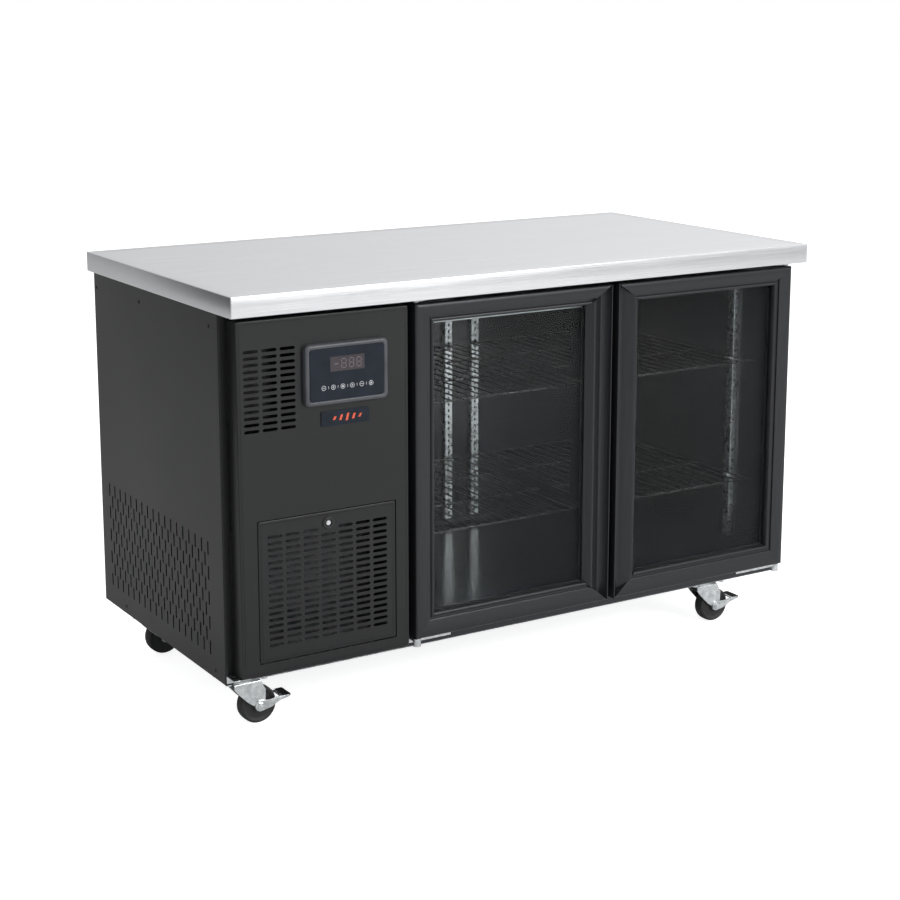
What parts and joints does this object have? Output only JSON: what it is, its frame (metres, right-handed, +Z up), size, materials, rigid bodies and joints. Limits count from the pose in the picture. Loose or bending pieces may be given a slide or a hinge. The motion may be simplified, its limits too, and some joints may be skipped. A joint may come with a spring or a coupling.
{
  "type": "undercounter refrigerator",
  "caption": "Worktop refrigerator with hinged glass doors, wire shelves, a louvred cooling-machine compartment at the left end and swivel casters",
  "frame": {"origin": "on the floor under the centre of the whole object's bounding box", "axes": "+X to the right along the front, +Y to the back, +Z up; millimetre model packed in metres"},
  "size_m": [1.36, 0.7, 0.85],
  "materials": {
    "brushed_stainless": "stainless sheet brushed along its length, edges folded down",
    "black_sheet": "near-black satin powder coat over sheet steel",
    "galvanised_sheet": "bare galvanised sheet",
    "foam": "rigid polyurethane foam fill",
    "dark_liner": "dark blue-black coated inner sheet, semi-gloss",
    "charcoal_sheet": "charcoal satin powder coat over folded sheet",
    "black_plastic": "moulded black plastic",
    "grey_plastic": "moulded mid-grey plastic",
    "control_face": "dark blue gloss label over membrane keys",
    "badge": "gloss printed plate",
    "zinc": "bright zinc plating on pressed steel",
    "anodised_frame": "charcoal anodised extrusion, satin",
    "glass": "clear insulating glass unit",
    "seal_rubber": "soft black magnetic door seal",
    "wheel_rubber": "black rubber tread on a moulded wheel",
    "coated_wire": "black plastic-coated welded wire",
    "lamp": "white diffuser",
    "fins": "thin aluminium fins on tube",
    "black_enamel": "black enamelled steel dome"
  },
  "bodies": {
    "cabinet": {"worktop": "brushed_stainless", "side_panel_left": "black_sheet", "side_panel_right": "black_sheet", "back_panel": "galvanised_sheet", "base_tray": "galvanised_sheet", "insulated_body": "foam", "inner_liner": "dark_liner", "mullion": "dark_liner", "machine_front_panel": "charcoal_sheet", "controller_bezel": "grey_plastic", "controller_face": "control_face", "badge_plate": "badge", "front_panel_bracket": "zinc", "hinge_bracket_bottom_left": "zinc", "hinge_bracket_top_left": "zinc", "hinge_bracket_bottom_right": "zinc", "hinge_bracket_top_right": "zinc", "pilaster_left_front": "zinc", "pilaster_left_back": "zinc", "pilaster_centre_left": "zinc", "pilaster_centre_right": "zinc", "pilaster_right_front": "zinc", "pilaster_right_back": "zinc", "lamp_strip": "lamp", "evaporator_cover": "dark_liner", "evaporator_coil": "fins", "condenser": "fins", "condenser_fan_motor": "black_plastic", "compressor": "black_enamel", "drip_tray": "grey_plastic", "control_box": "galvanised_sheet", "cord_inlet": "black_plastic", "caster_plate_front_left": "zinc", "caster_plate_front_right": "zinc", "caster_plate_back_left": "zinc", "caster_plate_back_right": "zinc"},
    "door_left": {"door_frame_left": "anodised_frame", "door_glass_left": "glass", "door_gasket_left": "seal_rubber"},
    "door_right": {"door_frame_right": "anodised_frame", "door_glass_right": "glass", "door_gasket_right": "seal_rubber"},
    "grille": {"service_grille": "charcoal_sheet"},
    "lock": {"grille_lock": "black_plastic"},
    "shelf_left_upper_body": {"shelf_left_upper": "coated_wire"},
    "shelf_left_lower_body": {"shelf_left_lower": "coated_wire"},
    "shelf_right_upper_body": {"shelf_right_upper": "coated_wire"},
    "shelf_right_lower_body": {"shelf_right_lower": "coated_wire"},
    "cold_air_fan": {"evaporator_fan": "black_plastic"},
    "cooling_fan": {"condenser_fan": "black_plastic"},
    "fork_front_left": {"caster_fork_front_left": "zinc"},
    "wheel_front_left": {"caster_wheel_front_left": "wheel_rubber"},
    "pedal_front_left": {"brake_pedal_front_left": "zinc"},
    "fork_front_right": {"caster_fork_front_right": "zinc"},
    "wheel_front_right": {"caster_wheel_front_right": "wheel_rubber"},
    "pedal_front_right": {"brake_pedal_front_right": "zinc"},
    "fork_back_left": {"caster_fork_back_left": "zinc"},
    "wheel_back_left": {"caster_wheel_back_left": "wheel_rubber"},
    "fork_back_right": {"caster_fork_back_right": "zinc"},
    "wheel_back_right": {"caster_wheel_back_right": "wheel_rubber"}
  },
  "joints": [
    {"name": "door_left_hinge", "type": "hinge", "parent": "cabinet", "child": "door_left", "pos_m": [-0.276, -0.311, 0.132], "axis": [0, 0, -1], "range_deg": [0, 95]},
    {"name": "door_right_hinge", "type": "hinge", "parent": "cabinet", "child": "door_right", "pos_m": [0.6522, -0.311, 0.132], "axis": [0, 0, 1], "range_deg": [0, 95]},
    {"name": "grille_tilt", "type": "hinge", "parent": "cabinet", "child": "grille", "pos_m": [-0.478, -0.326, 0.149], "axis": [1, 0, 0], "range_deg": [0, 80]},
    {"name": "grille_lock_turn", "type": "hinge", "parent": "grille", "child": "lock", "pos_m": [-0.478, -0.326, 0.401], "axis": [0, -1, 0], "range_deg": [0, 90]},
    {"name": "shelf_left_upper_lift", "type": "slide", "parent": "cabinet", "child": "shelf_left_upper_body", "axis": [0, 0, 1], "range_m": [0, 0.06]},
    {"name": "shelf_left_lower_lift", "type": "slide", "parent": "cabinet", "child": "shelf_left_lower_body", "axis": [0, 0, 1], "range_m": [0, 0.15]},
    {"name": "shelf_right_upper_lift", "type": "slide", "parent": "cabinet", "child": "shelf_right_upper_body", "axis": [0, 0, 1], "range_m": [0, 0.06]},
    {"name": "shelf_right_lower_lift", "type": "slide", "parent": "cabinet", "child": "shelf_right_lower_body", "axis": [0, 0, 1], "range_m": [0, 0.15]},
    {"name": "evaporator_fan_spin", "type": "hinge", "parent": "cabinet", "child": "cold_air_fan", "pos_m": [-0.05, 0.1422, 0.7157], "axis": [0, 1, 0], "continuous": true},
    {"name": "condenser_fan_spin", "type": "hinge", "parent": "cabinet", "child": "cooling_fan", "pos_m": [-0.488, -0.175, 0.2413], "axis": [0, 1, 0], "continuous": true},
    {"name": "caster_front_left_swivel", "type": "hinge", "parent": "cabinet", "child": "fork_front_left", "pos_m": [-0.626, -0.238, 0.088], "axis": [0, 0, 1], "continuous": true},
    {"name": "caster_front_left_roll", "type": "hinge", "parent": "fork_front_left", "child": "wheel_front_left", "pos_m": [-0.593, -0.238, 0.0375], "axis": [0, 1, 0], "continuous": true},
    {"name": "brake_front_left_press", "type": "hinge", "parent": "fork_front_left", "child": "pedal_front_left", "pos_m": [-0.593, -0.238, 0.0375], "axis": [0, 1, 0], "range_deg": [0, 18]},
    {"name": "caster_front_right_swivel", "type": "hinge", "parent": "cabinet", "child": "fork_front_right", "pos_m": [0.5, -0.238, 0.088], "axis": [0, 0, 1], "continuous": true},
    {"name": "caster_front_right_roll", "type": "hinge", "parent": "fork_front_right", "child": "wheel_front_right", "pos_m": [0.533, -0.238, 0.0375], "axis": [0, 1, 0], "continuous": true},
    {"name": "brake_front_right_press", "type": "hinge", "parent": "fork_front_right", "child": "pedal_front_right", "pos_m": [0.533, -0.238, 0.0375], "axis": [0, 1, 0], "range_deg": [0, 18]},
    {"name": "caster_back_left_swivel", "type": "hinge", "parent": "cabinet", "child": "fork_back_left", "pos_m": [-0.626, 0.214, 0.088], "axis": [0, 0, 1], "continuous": true},
    {"name": "caster_back_left_roll", "type": "hinge", "parent": "fork_back_left", "child": "wheel_back_left", "pos_m": [-0.593, 0.214, 0.0375], "axis": [0, 1, 0], "continuous": true},
    {"name": "caster_back_right_swivel", "type": "hinge", "parent": "cabinet", "child": "fork_back_right", "pos_m": [0.5, 0.214, 0.088], "axis": [0, 0, 1], "continuous": true},
    {"name": "caster_back_right_roll", "type": "hinge", "parent": "fork_back_right", "child": "wheel_back_right", "pos_m": [0.533, 0.214, 0.0375], "axis": [0, 1, 0], "continuous": true}
  ]
}
